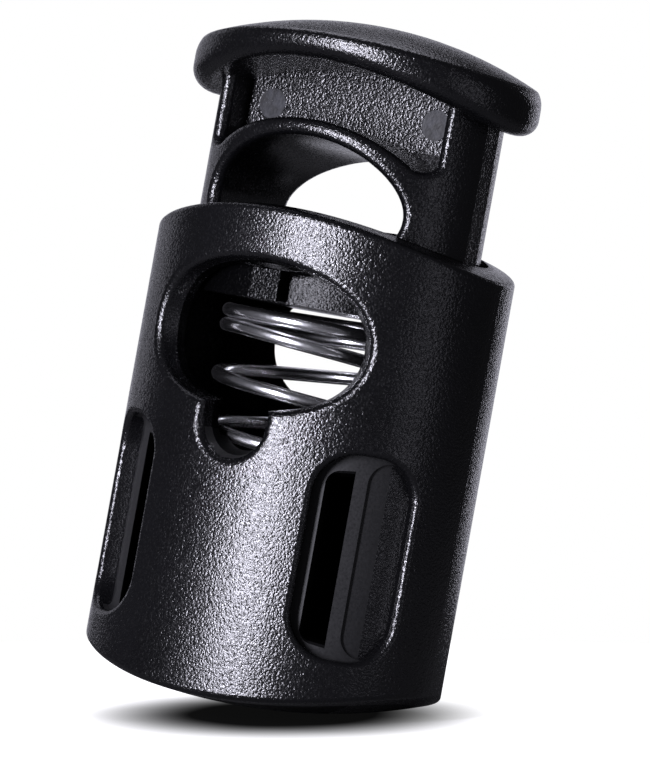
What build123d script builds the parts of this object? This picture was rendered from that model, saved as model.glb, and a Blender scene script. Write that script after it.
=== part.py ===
from build123d import *
import os
from math import sqrt

# Spring cord lock. Millimetres. X is the width, -Y the front, +Z up to the button.
# The origin is the lowest point of the housing, on its centre line.

# Housing: an oval barrel with arched ends
HOUSING_HALF_WIDTH = 9.8
HOUSING_HALF_DEPTH = 7.07
HOUSING_HEIGHT = 25.4
END_ARCH_RADIUS = 22.0
END_CROWN_RADIUS = 45.0
RIM_ROUND = 0.3
CAVITY_HALF_WIDTH = 8.3
CAVITY_HALF_DEPTH = 5.7
FLOOR_TOP = 1.8
SPRING_WELL_INNER = 5.3
SPRING_WELL_OUTER = 5.85
SPRING_WELL_TOP = 13.3

# Keyhole opening for the cord, in the front and the back of the housing
EYE_CENTRE = 18.5
EYE_FACES = (4.0, 7.6)
EYE_HALF_WIDTHS = (4.94, 8.2)
EYE_HALF_HEIGHTS = (3.42, 3.82)
NOTCH_FACES = (4.6, 7.6)
NOTCH_HALF_WIDTHS = (1.5, 1.98)
NOTCH_ENDS = (13.0, 11.95)
EYE_ROUND = 0.4
EYE_TOP = EYE_CENTRE + max(EYE_HALF_HEIGHTS)

# Strap slots at the corners, cut in along the diagonals: a shallow recess, a step and a hole
SLOT_CENTRE = 8.53
SLOT_HEIGHT = 10.1
SLOT_SPAN = (-0.85, 4.05)
SLOT_CORNER = 2.1
SLOT_ROUND = 0.3
SLOT_START = 6.0
RECESS_DEPTH = 0.78
STEP_DEPTH = 0.94
STEP_SPAN = (1.74, 6.0)
STEP_HEIGHT = 9.7
STEP_CORNER = 1.1
HOLE_CENTRE = 8.36
HOLE_HEIGHTS = (7.2, 8.8)
HOLE_REACH = 1.6
HOLE_SPAN = (-0.25, 1.74)
HOLE_CORNER = 0.6

# Plunger: an oval slide with the button cap moulded on top
SLIDE_HALF_WIDTH = 7.85
SLIDE_HALF_DEPTH = 5.35
SLIDE_END_FLAT = 7.8
SLIDE_BOTTOM = 20.3
STROKE = 6.8
CORD_HOLE_HALF_WIDTH = 5.4
CORD_HOLE_HALF_HEIGHT = 3.4
SLIDE_ROUND = 0.4
ARCH_HALF_WIDTH = 7.0
ARCH_HALF_HEIGHT = 4.25
POCKET_HALF_WIDTH = 6.3
POCKET_CORNER = 0.5
WEB_HALF = 0.7
TAB_HALF_WIDTH = 0.83
TAB_TOP = 21.8
TAB_REACH = 6.2

# Button cap
CAP_HALF_WIDTH = 9.55
CAP_HALF_DEPTH = 6.7
CAP_UNDER = 32.5
CAP_TOP = 35.0
CAP_UNDER_RADIUS = 19.5
CAP_ARCH_RADIUS = 21.2
CAP_CROWN_RADIUS = 18.0
CAP_TOP_ROUND = 1.4
CAP_UNDER_ROUND = 0.8
CAP_CREASE_ROUND = 0.4

# Spring: left-handed round wire with closed ends
WIRE_RADIUS = 0.35
COIL_RADIUS = 4.8
SPRING_TURNS = (1.0, 5.9, 1.5)
CLOSED_PITCH = 0.76
SPRING_START_ANGLE = 210.5
SPRING_STEPS = 8
SPRING_END_GAP = 0.05

REACH = 30.0
UP = (Align.CENTER, Align.CENTER, Align.MIN)
CORD_HOLE_CENTRE = EYE_CENTRE + STROKE


def oval_post(half_width, half_depth, bottom, top):
    """Upright post with an oval section."""
    return extrude(Pos(0, 0, bottom) * Ellipse(half_width, half_depth), top - bottom)


def barrel(arch_radius, crown_radius, centre):
    """Solid of revolution about a line along Y at height centre, fullest at the middle."""
    half = HOUSING_HALF_DEPTH + 1
    edge = arch_radius - (crown_radius - sqrt(crown_radius**2 - half**2))
    crown = ThreePointArc((0, -half, centre + edge), (0, 0, centre + arch_radius), (0, half, centre + edge))
    sides = Polyline((0, half, centre + edge), (0, half, centre), (0, -half, centre), (0, -half, centre + edge))
    return revolve(make_face(crown + sides), Axis((0, 0, centre), (0, 1, 0)), 360)


def drum(radius, centre):
    """Cylinder along Y through the whole part."""
    return Pos(0, 0, centre) * Rot(90, 0, 0) * Cylinder(radius, REACH)


def facing(distance, side):
    """Plane facing along Y at a distance in front of (-1) or behind (+1) the centre."""
    return Plane(origin=(0, side * distance, 0), x_dir=(1, 0, 0), z_dir=(0, -1, 0))


def eye_cutter(side):
    """Tapered oval with its notch below, for one face of the housing."""
    ovals = [
        facing(distance, side) * Pos(0, EYE_CENTRE) * Ellipse(half_width, half_height)
        for distance, half_width, half_height in zip(EYE_FACES, EYE_HALF_WIDTHS, EYE_HALF_HEIGHTS)
    ]
    notches = []
    for distance, half_width, end in zip(NOTCH_FACES, NOTCH_HALF_WIDTHS, NOTCH_ENDS):
        length = EYE_CENTRE - end
        outline = Pos(0, EYE_CENTRE - length / 2) * SlotOverall(length, 2 * half_width, rotation=90)
        notches.append(facing(distance, side) * outline)
    return loft(ovals, ruled=True) + loft(notches, ruled=True)


def slot_outline(distance, span, height, corner, centre):
    """Rounded outline across the diagonal through the front right corner, at a distance from the axis."""
    plane = Plane(origin=(0, 0, 0), x_dir=(1, 1, 0), z_dir=(1, -1, 0)).offset(distance)
    return plane * Pos(sum(span) / 2, centre) * RectangleRounded(span[1] - span[0], height, corner)


def wall_core(depth):
    """Oval post that leaves a given depth of the housing's skin outside it."""
    return oval_post(HOUSING_HALF_WIDTH - depth, HOUSING_HALF_DEPTH - depth, 0, HOUSING_HEIGHT)


def slot_recess():
    """Front right recess in the skin, a step deeper beside the end post."""
    mouth = extrude(slot_outline(SLOT_START, SLOT_SPAN, SLOT_HEIGHT, SLOT_CORNER, SLOT_CENTRE), SLOT_START)
    step = extrude(slot_outline(SLOT_START, STEP_SPAN, STEP_HEIGHT, STEP_CORNER, SLOT_CENTRE), SLOT_START)
    return (mouth - wall_core(RECESS_DEPTH)) + ((mouth & step) - wall_core(STEP_DEPTH))


def slot_hole():
    """Hole through the wall from the front right recess, flared outwards."""
    inside = slot_outline(SLOT_START, HOLE_SPAN, HOLE_HEIGHTS[0], HOLE_CORNER, HOLE_CENTRE)
    outside = slot_outline(SLOT_START + HOLE_REACH, HOLE_SPAN, HOLE_HEIGHTS[1], HOLE_CORNER, HOLE_CENTRE)
    return loft([inside, outside], ruled=True)


def four_ways(piece):
    """The piece and its mirror images across X and across Y."""
    pair = piece + mirror(piece, Plane.YZ)
    return pair + mirror(pair, Plane.XZ)


def rounded(solid, radius, chosen):
    """The solid with the edges that chosen picks rounded."""
    return fillet(solid.edges().filter_by(chosen), radius)


def along(edge):
    """Three points spread along an edge."""
    return [edge @ share for share in (0.1, 0.5, 0.9)]


def on_oval(point, half_width, half_depth):
    return abs(sqrt((point.X / half_width) ** 2 + (point.Y / half_depth) ** 2) - 1) < 1e-4


def opening_edge(edge):
    """True for the outer edge of a keyhole or a strap slot on the barrel's skin."""
    points = along(edge)
    below_rim = max(point.Z for point in points) < EYE_TOP + EYE_ROUND
    above_base = min(point.Z for point in points) > SLOT_CENTRE - SLOT_HEIGHT / 2 - SLOT_ROUND
    seam = abs(points[0].X) > HOUSING_HALF_WIDTH - RIM_ROUND
    on_skin = all(on_oval(point, HOUSING_HALF_WIDTH, HOUSING_HALF_DEPTH) for point in points)
    return below_rim and above_base and on_skin and not seam


def slot_edge(edge):
    """True for the outer edge of a strap slot."""
    middle = edge @ 0.5
    below_eye = middle.Z < SLOT_CENTRE + SLOT_HEIGHT / 2 + SLOT_ROUND
    return below_eye and abs(middle.X) > EYE_HALF_WIDTHS[0] - 1 and opening_edge(edge)


def slide_edge(edge):
    """True for the outer edge of the cord hole or a pocket on the slide's skin."""
    points = along(edge)
    inside_ends = all(abs(point.X) < POCKET_HALF_WIDTH + SLIDE_ROUND for point in points)
    above_bottom = min(point.Z for point in points) > SLIDE_BOTTOM + SLIDE_ROUND
    below_cap = max(point.Z for point in points) < CAP_UNDER + SLIDE_ROUND / 2
    on_skin = all(on_oval(point, SLIDE_HALF_WIDTH, SLIDE_HALF_DEPTH) for point in points)
    return inside_ends and above_bottom and below_cap and on_skin


def crease_edge(edge):
    """True for the edge between the cap's dome and its side."""
    lowest = min(point.Z for point in along(edge))
    return lowest > CAP_UNDER + CAP_UNDER_ROUND / 2 and edge.length > CAP_HALF_WIDTH


def make_shell():
    """Oval barrel with arched ends, hollow from the rim down to the floor."""
    shell = oval_post(HOUSING_HALF_WIDTH, HOUSING_HALF_DEPTH, -1, HOUSING_HEIGHT + 1)
    shell &= barrel(END_ARCH_RADIUS, END_CROWN_RADIUS, HOUSING_HEIGHT - END_ARCH_RADIUS)
    shell &= barrel(END_ARCH_RADIUS, END_CROWN_RADIUS, END_ARCH_RADIUS)
    shell = rounded(shell, RIM_ROUND, lambda edge: edge.geom_type == GeomType.BSPLINE)
    return shell - oval_post(CAVITY_HALF_WIDTH, CAVITY_HALF_DEPTH, FLOOR_TOP, REACH)


def make_housing():
    """Barrel with its spring well, two keyholes and four strap slots."""
    height = SPRING_WELL_TOP - FLOOR_TOP
    well = Cylinder(SPRING_WELL_OUTER, height, align=UP) - Cylinder(SPRING_WELL_INNER, height, align=UP)
    housing = make_shell() + Pos(0, 0, FLOOR_TOP) * well
    housing -= eye_cutter(-1) + eye_cutter(1)
    housing -= four_ways(slot_recess())
    housing = rounded(housing, EYE_ROUND, lambda edge: opening_edge(edge) and not slot_edge(edge))
    housing = rounded(housing, SLOT_ROUND, slot_edge)
    return housing - four_ways(slot_hole())


def make_cap():
    """Domed button, arched underneath like the rim of the barrel."""
    centre = CAP_UNDER - CAP_UNDER_RADIUS
    cap = oval_post(CAP_HALF_WIDTH, CAP_HALF_DEPTH, SLIDE_BOTTOM, CAP_TOP + 1)
    cap = cap & drum(CAP_TOP - centre, centre)
    cap = cap - drum(CAP_UNDER_RADIUS, centre)
    cap = fillet(cap.edges().filter_by(GeomType.BSPLINE).sort_by(Axis.Z)[-1], CAP_TOP_ROUND)
    cap = fillet(cap.edges().filter_by(GeomType.BSPLINE).sort_by(Axis.Z)[0], CAP_UNDER_ROUND)
    cap = cap & barrel(CAP_ARCH_RADIUS, CAP_CROWN_RADIUS, CAP_TOP - CAP_ARCH_RADIUS)
    return rounded(cap, CAP_CREASE_ROUND, crease_edge)


def long_oval(half_width, half_height):
    """Oval bar along Y, centred on the cord hole of the plunger."""
    section = facing(0, -1) * Pos(0, CORD_HOLE_CENTRE) * Ellipse(half_width, half_height)
    return extrude(section, REACH, both=True)


def make_pocket(side):
    """Hollow above the arch of the cord hole, in one face of the slide."""
    box = Box(2 * POCKET_HALF_WIDTH, SLIDE_HALF_DEPTH, CAP_TOP - CORD_HOLE_CENTRE, align=UP)
    pocket = Pos(0, side * (WEB_HALF + SLIDE_HALF_DEPTH / 2), CORD_HOLE_CENTRE) * box
    pocket -= long_oval(ARCH_HALF_WIDTH, ARCH_HALF_HEIGHT)
    corners = pocket.edges().filter_by(lambda edge: edge.length < SLIDE_HALF_DEPTH * 1.01).sort_by(Axis.Z)
    return fillet(corners[:2], POCKET_CORNER)


def make_plunger():
    """Slide with the cord hole, pockets and stop tabs, and its button cap."""
    slide = oval_post(SLIDE_HALF_WIDTH, SLIDE_HALF_DEPTH, SLIDE_BOTTOM, CAP_UNDER + CAP_UNDER_ROUND)
    slide &= Box(2 * SLIDE_END_FLAT, 2 * HOUSING_HALF_DEPTH, 2 * REACH + CAP_TOP)
    slide -= long_oval(CORD_HOLE_HALF_WIDTH, CORD_HOLE_HALF_HEIGHT)
    slide -= make_pocket(-1) + make_pocket(1)
    slide = rounded(slide, SLIDE_ROUND, slide_edge)
    tab = Box(2 * TAB_HALF_WIDTH, 2 * TAB_REACH, TAB_TOP - SLIDE_BOTTOM, align=UP)
    return slide + Pos(0, 0, SLIDE_BOTTOM) * tab + make_cap()


def spring_point(turn):
    """Centre of the wire after a number of turns from the bottom."""
    below, active, above = SPRING_TURNS
    bottom = FLOOR_TOP + SPRING_END_GAP + WIRE_RADIUS
    top = SLIDE_BOTTOM - SPRING_END_GAP - WIRE_RADIUS
    open_pitch = (top - bottom - CLOSED_PITCH * (below + above)) / active
    open_turns = min(max(turn - below, 0), active)
    height = bottom + CLOSED_PITCH * (turn - open_turns) + open_pitch * open_turns
    return Vector(COIL_RADIUS, 0, height).rotate(Axis.Z, SPRING_START_ANGLE - 360 * turn)


def make_spring():
    count = round(sum(SPRING_TURNS) * SPRING_STEPS)
    path = Spline([spring_point(sum(SPRING_TURNS) * step / count) for step in range(count + 1)])
    section = Plane(origin=path @ 0, z_dir=path % 0) * Circle(WIRE_RADIUS)
    return sweep(section, path, is_frenet=True)


PIECES = {"housing": make_housing, "plunger": make_plunger, "spring": make_spring}

os.makedirs("parts", exist_ok=True)
for name, make in PIECES.items():
    export_step(make(), f"parts/{name}.step")
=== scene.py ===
import math
import bmesh
import bpy
from mathutils import Matrix, Vector


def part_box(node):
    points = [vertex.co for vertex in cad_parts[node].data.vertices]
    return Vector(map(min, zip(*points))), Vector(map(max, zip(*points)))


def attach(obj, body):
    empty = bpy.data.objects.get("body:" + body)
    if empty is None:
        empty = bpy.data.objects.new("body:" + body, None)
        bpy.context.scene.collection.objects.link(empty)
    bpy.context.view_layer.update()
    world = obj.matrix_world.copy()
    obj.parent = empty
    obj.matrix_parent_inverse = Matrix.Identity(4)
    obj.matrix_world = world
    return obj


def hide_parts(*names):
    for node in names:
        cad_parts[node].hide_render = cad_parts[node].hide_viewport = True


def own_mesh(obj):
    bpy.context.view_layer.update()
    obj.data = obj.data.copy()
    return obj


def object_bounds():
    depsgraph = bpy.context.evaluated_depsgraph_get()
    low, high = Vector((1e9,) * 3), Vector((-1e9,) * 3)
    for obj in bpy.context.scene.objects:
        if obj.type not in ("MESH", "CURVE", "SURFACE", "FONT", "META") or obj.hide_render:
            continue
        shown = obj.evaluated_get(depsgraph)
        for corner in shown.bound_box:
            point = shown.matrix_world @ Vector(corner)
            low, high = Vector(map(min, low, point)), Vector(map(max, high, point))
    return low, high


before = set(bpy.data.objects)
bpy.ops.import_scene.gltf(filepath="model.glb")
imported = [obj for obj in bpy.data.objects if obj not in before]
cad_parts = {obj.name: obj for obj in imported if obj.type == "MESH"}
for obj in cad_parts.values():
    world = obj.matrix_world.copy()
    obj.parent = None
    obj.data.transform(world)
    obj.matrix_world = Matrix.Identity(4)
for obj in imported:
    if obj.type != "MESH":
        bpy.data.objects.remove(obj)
CAD_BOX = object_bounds()

MM = 0.001
BASE, TOP = CAD_BOX
CENTRE = (BASE + TOP) / 2
WIDTH, DEPTH, HEIGHT = TOP - BASE
UPRIGHT = Vector((0, 0, 1))

# Camera: level with the upright object, and leaning to one side
CAMERA_AZIMUTH = 30.8
CAMERA_LEAN = 10.2
CAMERA_DISTANCE = 195 * MM
CAMERA_AIM_HEIGHT = 16.9 * MM
CAMERA_AIM_SIDE = 0.62 * MM
VIEW_HEIGHT = 38.608 * MM
SENSOR = 36.0
CLIP_RATIO = 20

# Light
WHITE = (1.0, 1.0, 1.0)
COOL_WHITE = (0.88, 0.87, 1.0)
SURROUND = 0.045
LIGHT_DISTANCE = 6 * HEIGHT

# Each light's name, azimuth, elevation, width and height in object heights, and watts
LIGHTS = (
    ("key_softbox", -9, 0, 0.8, 4, 0.72),
    ("top_softbox", CAMERA_AZIMUTH + 200, 60, 4, 3, 0.08),
    ("rear_softbox", 178, 8, 0.8, 4, 0.035),
    ("right_strip", 68, 5, 0.4, 4, 0.015),
    ("left_softbox", 250, 10, 1.5, 4, 0.018),
    ("backdrop", CAMERA_AZIMUTH + 180, 5, 5, 4, 0.06),
)

# Floor, with a soft oval shadow painted on it, which fades over a range of squared shares of the oval
FLOOR_RADIUS = 1.6 * HEIGHT
FLOOR_SIDES = 128
FLOOR_WHITE = 0.9
FLOOR_ROUGHNESS = 0.9
FLOOR_BOUNCE = 0.2
SHADOW_SIDE = -1.6 * MM
SHADOW_WIDTH = 9.5 * MM
SHADOW_DEPTH = 13 * MM
SHADOW_CORE = 0.004
SHADOW_FADE = (0.2, 1.45)
SHADOW_PATCHES = 6 * MM
SHADOW_UNEVEN = 0.04

# Black plastic: mould grain, and slow flow marks that vary its tone
PLASTIC_DARK = (0.0003, 0.0003, 0.0004)
PLASTIC_LIGHT = (0.0045, 0.0045, 0.0053)
GRAIN = 0.095 * MM
GRAIN_DETAIL = 1.5
GRAIN_DEPTH = 0.026 * MM
GRAIN_RANGE = (0.4, 1.1)
GRAIN_ROUGHNESS = (0.13, 0.3)
PEBBLE = 1.5 * GRAIN
PEBBLE_SHARE = 0.7
FLOW = 4 * MM
FLOW_DETAIL = 3.0
FLOW_RANGE = (0.2, 0.8)
FLOW_TONE = (0.4, 1.0)
SMOOTH_BUMP = 0.1
# Specular level in the open, and the lower level in recesses where shade is painted
OPEN_SPECULAR = 0.7
SHADE_SPECULAR = 0.06

# Where the plastic is smooth or darkened by painted shade; limits are shares of an oval's size
STRIP_EDGE = 4.0 * MM
STRIP_LIMIT = 0.945
STRIP_MATTE = 0.3
SLOT_TOP = 13.6 * MM
BARREL_LIMIT = 0.87
SLIDE_WIDTH = 15.7 * MM
SLIDE_DEPTH = 10.7 * MM
SLIDE_LIMIT = 0.9
CORD_HOLE_TOP = 28.9 * MM
SLIDE_FOOT = 21.9 * MM
FOOT_PAINTED_SHADE = 0.8

# Ejector pin marks on the plunger's web
MARK_X = 4.85 * MM
MARK_Z = 30.4 * MM
MARK_RADIUS = 0.78 * MM
MARK_PROUD = 0.03 * MM
MARK_SIDES = 48
WEB_FACE = 0.7 * MM
MARK_DARK = (0.002, 0.002, 0.0025)
MARK_LIGHT = (0.022, 0.023, 0.028)
MARK_PATCHES = 0.5 * MM
MARK_RANGE = (0.35, 0.65)
MARK_DETAIL = 3.0
MARK_ROUGHNESS = 0.42
MARK_SPECULAR = 0.4
MARK_BUMPS = 0.25 * MM
MARK_BUMP_DEPTH = 0.02 * MM
MARK_BUMP_STRENGTH = 0.6

# Spring: its shape is as in the CAD model
WIRE_RADIUS = 0.35 * MM
COIL_RADIUS = 4.8 * MM
SPRING_TURNS = (1.0, 5.9, 1.5)
CLOSED_PITCH = 0.76 * MM
SPRING_START = 210.5
SPRING_STEPS = 64
WIRE_ROUNDNESS = 6
WIRE_COLOUR = (0.95, 0.95, 0.96)
WIRE_MARKS = 0.12 * MM
WIRE_ROUGHNESS = (0.16, 0.3)


def direction(azimuth, elevation):
    """Unit vector from the object towards an azimuth and elevation, in degrees; azimuth 0 is the front."""
    a, e = math.radians(azimuth), math.radians(elevation)
    return Vector((math.sin(a) * math.cos(e), -math.cos(a) * math.cos(e), math.sin(e)))


def camera_axes():
    """Right, up and back of the leaning camera, and the level direction to its right."""
    back = direction(CAMERA_AZIMUTH, 0)
    level = UPRIGHT.cross(back)
    lean = math.radians(CAMERA_LEAN)
    right = level * math.cos(lean) + UPRIGHT * math.sin(lean)
    up = UPRIGHT * math.cos(lean) - level * math.sin(lean)
    return right, up, back, level


def standing(place, x_axis, y_axis, z_axis):
    """Matrix of an object at a place, with its own axes along the three given ones."""
    turn = Matrix((x_axis, y_axis, z_axis)).transposed().to_4x4()
    return Matrix.Translation(place) @ turn


def add_object(name, data):
    """New object in the scene."""
    obj = bpy.data.objects.new(name, data)
    bpy.context.scene.collection.objects.link(obj)
    return obj


def make_camera():
    data = bpy.data.cameras.new("camera")
    data.sensor_width = SENSOR
    data.lens = SENSOR * CAMERA_DISTANCE / VIEW_HEIGHT
    data.clip_start = CAMERA_DISTANCE / CLIP_RATIO
    data.clip_end = CAMERA_DISTANCE * CLIP_RATIO
    camera = add_object("camera", data)
    right, up, back, level = camera_axes()
    aim = Vector((0, 0, CAMERA_AIM_HEIGHT)) + level * CAMERA_AIM_SIDE
    camera.matrix_world = standing(aim + back * CAMERA_DISTANCE, right, up, back)
    bpy.context.scene.camera = camera


def background(nodes, colour, strength):
    """World light of one colour."""
    node = nodes.new("ShaderNodeBackground")
    node.inputs["Strength"].default_value = strength
    node.inputs["Color"].default_value = (*colour, 1)
    return node.outputs["Background"]


def make_world():
    """White backdrop for the camera, and a much dimmer surround as light."""
    world = bpy.data.worlds.new("studio")
    bpy.context.scene.world = world
    world.use_nodes = True
    nodes, links = world.node_tree.nodes, world.node_tree.links
    nodes.clear()
    seen = background(nodes, WHITE, 1.0)
    felt = background(nodes, COOL_WHITE, SURROUND)
    path = nodes.new("ShaderNodeLightPath")
    mix = nodes.new("ShaderNodeMixShader")
    out = nodes.new("ShaderNodeOutputWorld")
    links.new(path.outputs["Is Camera Ray"], mix.inputs["Fac"])
    links.new(felt, mix.inputs[1])
    links.new(seen, mix.inputs[2])
    links.new(mix.outputs["Shader"], out.inputs["Surface"])


def area_light(name, azimuth, elevation, width, height, watts):
    """Soft rectangular light that faces the middle of the object."""
    data = bpy.data.lights.new(name, "AREA")
    data.shape = "RECTANGLE"
    data.size = width * HEIGHT
    data.size_y = height * HEIGHT
    data.energy = watts
    data.color = COOL_WHITE
    light = add_object(name, data)
    towards = direction(azimuth, elevation)
    light.location = CENTRE + towards * LIGHT_DISTANCE
    light.rotation_euler = towards.to_track_quat("Z", "Y").to_euler()


class Shade:
    """A node material under construction, with its main shader and object coordinates."""

    def __init__(self, name):
        self.mat = bpy.data.materials.new(name)
        self.mat.use_nodes = True
        self.nodes = self.mat.node_tree.nodes
        self.links = self.mat.node_tree.links
        self.shader = self.nodes["Principled BSDF"]
        self.coords = self.nodes.new("ShaderNodeTexCoord").outputs["Object"]

    def put(self, value, socket):
        """Give a socket a number, or another node's output."""
        if isinstance(value, (int, float)):
            socket.default_value = value
        else:
            self.links.new(value, socket)

    def math(self, operation, *values):
        """Math node on numbers or on other nodes' outputs."""
        node = self.nodes.new("ShaderNodeMath")
        node.operation = operation
        for socket, value in zip(node.inputs, values):
            self.put(value, socket)
        return node.outputs["Value"]

    def noise(self, size, detail=2.0):
        """Noise whose features are about size metres across."""
        node = self.nodes.new("ShaderNodeTexNoise")
        node.inputs["Scale"].default_value = 1 / size
        node.inputs["Detail"].default_value = detail
        self.links.new(self.coords, node.inputs["Vector"])
        return node.outputs["Fac"]

    def cells(self, size):
        """Distance to the nearest cell centre, for cells about size metres across."""
        node = self.nodes.new("ShaderNodeTexVoronoi")
        node.feature = "SMOOTH_F1"
        node.inputs["Scale"].default_value = 1 / size
        self.links.new(self.coords, node.inputs["Vector"])
        return node.outputs["Distance"]

    def spread(self, value, low, high, out_low, out_high):
        """Map a value's range from low..high to out_low..out_high, clamped."""
        node = self.nodes.new("ShaderNodeMapRange")
        numbers = {"From Min": low, "From Max": high, "To Min": out_low, "To Max": out_high}
        for socket, number in numbers.items():
            node.inputs[socket].default_value = number
        self.links.new(value, node.inputs["Value"])
        return node.outputs["Result"]

    def ease(self, value):
        """A value from 0 to 1, slowed down at both ends."""
        slope = self.math("SUBTRACT", 3.0, self.math("MULTIPLY", value, 2.0))
        return self.math("MULTIPLY", self.math("POWER", value, 2.0), slope)

    def tone(self, value, dark, light):
        """Base colour from dark at 0 to light at 1."""
        node = self.nodes.new("ShaderNodeValToRGB")
        node.color_ramp.elements[0].color = (*dark, 1)
        node.color_ramp.elements[1].color = (*light, 1)
        self.links.new(value, node.inputs["Fac"])
        self.links.new(node.outputs["Color"], self.shader.inputs["Base Color"])

    def bump(self, height, depth, strength):
        """Bump of a given depth in metres; strength is a number or another node's output."""
        node = self.nodes.new("ShaderNodeBump")
        node.inputs["Distance"].default_value = depth
        self.put(strength, node.inputs["Strength"])
        self.links.new(height, node.inputs["Height"])
        self.links.new(node.outputs["Normal"], self.shader.inputs["Normal"])

    def position(self):
        """X, Y and Z of the point, in metres."""
        node = self.nodes.new("ShaderNodeSeparateXYZ")
        self.links.new(self.coords, node.inputs["Vector"])
        return node.outputs["X"], node.outputs["Y"], node.outputs["Z"]

    def oval(self, half_width, half_depth):
        """1 on an upright oval's surface, less inside it."""
        x, y, _ = self.position()
        across = self.math("POWER", self.math("DIVIDE", x, half_width), 2)
        deep = self.math("POWER", self.math("DIVIDE", y, half_depth), 2)
        return self.math("SQRT", self.math("ADD", across, deep))

    def within(self, width, depth, limit):
        """1 inside an upright oval shrunk to a share of its size, 0 outside."""
        return self.math("LESS_THAN", self.oval(width / 2, depth / 2), limit)

    def below(self, height):
        """1 below a height, 0 above it."""
        _, _, z = self.position()
        return self.math("LESS_THAN", z, height)


def grained_plastic(name, smooth, matte, inside):
    """Black moulded plastic with grain, and painted shade in recesses.

    Where smooth is 1, the grain's bump is nearly flat and matte is added to the roughness. Where inside
    is 1, in recesses, painted shade makes the plastic darker and makes it reflect less.
    """
    shade = Shade(name)
    pebbles = shade.math("MULTIPLY", shade.cells(PEBBLE), PEBBLE_SHARE)
    grain = shade.math("ADD", shade.noise(GRAIN, GRAIN_DETAIL), pebbles)
    flow = shade.spread(shade.noise(FLOW, FLOW_DETAIL), *FLOW_RANGE, *FLOW_TONE)
    # Painted shade: recesses get a darker base colour and a lower specular level
    painted_shade = inside(shade)
    shown = shade.math("MULTIPLY", flow, shade.math("SUBTRACT", 1.0, painted_shade))
    shade.tone(shown, PLASTIC_DARK, PLASTIC_LIGHT)
    specular = shade.spread(painted_shade, 0, 1, OPEN_SPECULAR, SHADE_SPECULAR)
    shade.put(specular, shade.shader.inputs["Specular IOR Level"])
    flattened = smooth(shade)
    rough = shade.spread(grain, *GRAIN_RANGE, *GRAIN_ROUGHNESS)
    shade.put(shade.math("MULTIPLY_ADD", flattened, matte, rough), shade.shader.inputs["Roughness"])
    shade.bump(grain, GRAIN_DEPTH, shade.spread(flattened, 0, 1, 1.0, SMOOTH_BUMP))
    return shade.mat


def strap_strips(shade):
    """1 on the smooth strips inside the strap slots."""
    x, y, _ = shade.position()
    beside = shade.math("SUBTRACT", shade.math("ABSOLUTE", x), shade.math("ABSOLUTE", y))
    inner = shade.math("LESS_THAN", beside, STRIP_EDGE)
    cut_in = shade.math("MULTIPLY", inner, shade.within(WIDTH, DEPTH, STRIP_LIMIT))
    return shade.math("MULTIPLY", cut_in, shade.below(SLOT_TOP))


def barrel_painted_shade(shade):
    """1 on everything inside the barrel's wall, which gets painted shade."""
    return shade.within(WIDTH, DEPTH, BARREL_LIMIT)


def cord_hole_inside(shade):
    """1 inside the plunger's cord hole."""
    deep = shade.within(SLIDE_WIDTH, SLIDE_DEPTH, SLIDE_LIMIT)
    return shade.math("MULTIPLY", deep, shade.below(CORD_HOLE_TOP))


def slide_foot_shade(shade):
    """Painted shade, at a share of full strength, on the plunger's foot, which stays in the barrel."""
    return shade.math("MULTIPLY", shade.below(SLIDE_FOOT), FOOT_PAINTED_SHADE)


def pin_mark_plastic():
    """Paler, blotchy plastic left by the mould's ejector pins."""
    shade = Shade("pin_mark_plastic")
    shade.put(MARK_SPECULAR, shade.shader.inputs["Specular IOR Level"])
    shade.put(MARK_ROUGHNESS, shade.shader.inputs["Roughness"])
    patches = shade.noise(MARK_PATCHES, MARK_DETAIL)
    shade.tone(shade.spread(patches, *MARK_RANGE, 0, 1), MARK_DARK, MARK_LIGHT)
    shade.bump(shade.noise(MARK_BUMPS, MARK_DETAIL), MARK_BUMP_DEPTH, MARK_BUMP_STRENGTH)
    return shade.mat


def plated_wire():
    """Bright plated spring wire, with faint drawing marks."""
    shade = Shade("spring_wire")
    shade.put(1.0, shade.shader.inputs["Metallic"])
    shade.shader.inputs["Base Color"].default_value = (*WIRE_COLOUR, 1)
    rough = shade.spread(shade.noise(WIRE_MARKS), 0, 1, *WIRE_ROUGHNESS)
    shade.put(rough, shade.shader.inputs["Roughness"])
    return shade.mat


def pale_floor_painted_shadow():
    """White to the camera apart from a painted soft shadow, and a dim grey to all other light."""
    shade = Shade("pale_floor_painted_shadow")
    # Painted shadow: a soft oval under the object darkens the floor's colour and glow as the camera sees
    # it
    away = shade.math("POWER", shade.oval(SHADOW_WIDTH, SHADOW_DEPTH), 2.0)
    patches = shade.spread(shade.noise(SHADOW_PATCHES), 0, 1, -SHADOW_UNEVEN, SHADOW_UNEVEN)
    edge = shade.spread(shade.math("ADD", away, patches), *SHADOW_FADE, 0.0, 1.0)
    outside_painted_shadow = shade.math("MAXIMUM", shade.ease(edge), SHADOW_CORE)
    seen = shade.nodes.new("ShaderNodeLightPath").outputs["Is Camera Ray"]
    shown = shade.math("MULTIPLY", outside_painted_shadow, seen)
    bounced = shade.math("MULTIPLY", shade.math("SUBTRACT", 1.0, seen), FLOOR_BOUNCE)
    pale = shade.math("MULTIPLY_ADD", shown, FLOOR_WHITE, bounced)
    grey = shade.nodes.new("ShaderNodeCombineColor")
    for channel in grey.inputs:
        shade.links.new(pale, channel)
    shade.put(grey.outputs["Color"], shade.shader.inputs["Base Color"])
    shade.put(FLOOR_ROUGHNESS, shade.shader.inputs["Roughness"])
    shade.put(0, shade.shader.inputs["Specular IOR Level"])
    shade.shader.inputs["Emission Color"].default_value = (*WHITE, 1)
    shade.put(shown, shade.shader.inputs["Emission Strength"])
    return shade.mat


def dress(obj, mat):
    """Give an object one material and smooth shading."""
    obj.data.materials.clear()
    obj.data.materials.append(mat)
    obj.data.shade_smooth()


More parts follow.
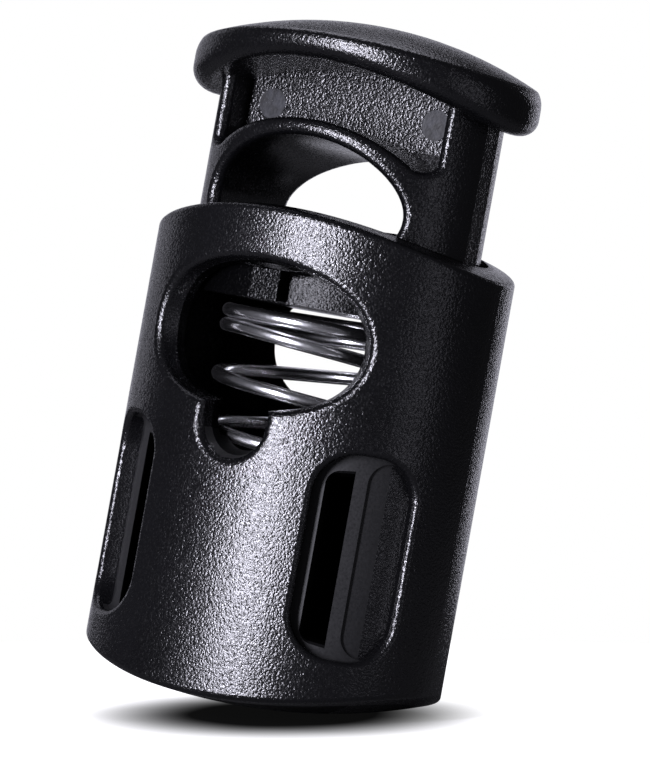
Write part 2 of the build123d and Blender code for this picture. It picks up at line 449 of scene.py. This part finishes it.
def make_ejector_marks():
    """Shallow round marks of the mould's ejector pins on the plunger's web, front and back."""
    mesh = bmesh.new()
    flat = Matrix.Rotation(math.pi / 2, 4, "X")
    for side in (-1, 1):
        for across in (-MARK_X, MARK_X):
            place = Matrix.Translation((across, side * WEB_FACE, MARK_Z)) @ flat
            bmesh.ops.create_cone(mesh, cap_ends=True, segments=MARK_SIDES, radius1=MARK_RADIUS,
                                  radius2=MARK_RADIUS, depth=2 * MARK_PROUD, matrix=place)
    data = bpy.data.meshes.new("ejector_marks")
    mesh.to_mesh(data)
    mesh.free()
    marks = add_object("ejector_marks", data)
    data.materials.append(pin_mark_plastic())
    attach(marks, "plunger")


def spring_point(turn, bottom, top):
    """Centre of the wire after a number of turns, on a helix from height bottom to height top."""
    below, active, above = SPRING_TURNS
    open_pitch = (top - bottom - CLOSED_PITCH * (below + above)) / active
    open_turns = min(max(turn - below, 0), active)
    angle = math.radians(SPRING_START - 360 * turn)
    height = bottom + CLOSED_PITCH * (turn - open_turns) + open_pitch * open_turns
    return COIL_RADIUS * math.cos(angle), COIL_RADIUS * math.sin(angle), height


def wire_mesh(points):
    """Mesh of round wire through points, closed at both ends."""
    curve = bpy.data.curves.new("spring_path", "CURVE")
    curve.dimensions = "3D"
    curve.bevel_depth = WIRE_RADIUS
    curve.bevel_resolution = WIRE_ROUNDNESS
    curve.use_fill_caps = True
    line = curve.splines.new("POLY")
    line.points.add(len(points) - 1)
    for knot, point in zip(line.points, points):
        knot.co = (*point, 1)
    path = add_object("spring_path", curve)
    bpy.context.view_layer.update()
    mesh = bpy.data.meshes.new_from_object(path.evaluated_get(bpy.context.evaluated_depsgraph_get()))
    bpy.data.objects.remove(path)
    return mesh


def make_spring():
    """Smooth wire along the CAD spring's helix."""
    low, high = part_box("spring")
    turns = sum(SPRING_TURNS)
    steps = round(turns * SPRING_STEPS)
    heights = low.z + WIRE_RADIUS, high.z - WIRE_RADIUS
    points = [spring_point(turns * step / steps, *heights) for step in range(steps + 1)]
    spring = add_object("spring_wire_coil", wire_mesh(points))
    dress(spring, plated_wire())
    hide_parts("spring")
    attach(spring, "housing")
    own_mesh(spring)


def make_floor():
    """Disc square to the camera's upright, touching the lowest point of the leaning housing."""
    right, up, back, _ = camera_axes()
    lowest = min(vertex.co.dot(up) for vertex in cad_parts["housing"].data.vertices)
    centre = CENTRE + right * SHADOW_SIDE
    bpy.ops.mesh.primitive_circle_add(vertices=FLOOR_SIDES, radius=FLOOR_RADIUS, fill_type="NGON")
    floor = bpy.context.object
    floor.name = "floor"
    floor.matrix_world = standing(centre - up * (centre.dot(up) - lowest), right, -back, up)
    floor.data.materials.append(pale_floor_painted_shadow())


bpy.context.scene.view_settings.view_transform = "Standard"
make_camera()
make_world()
for light in LIGHTS:
    area_light(*light)
housing_plastic = grained_plastic("housing_plastic", strap_strips, STRIP_MATTE, barrel_painted_shade)
plunger_plastic = grained_plastic("plunger_plastic", cord_hole_inside, 0.0, slide_foot_shade)
dress(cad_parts["housing"], housing_plastic)
dress(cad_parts["plunger"], plunger_plastic)
make_ejector_marks()
make_spring()
make_floor()
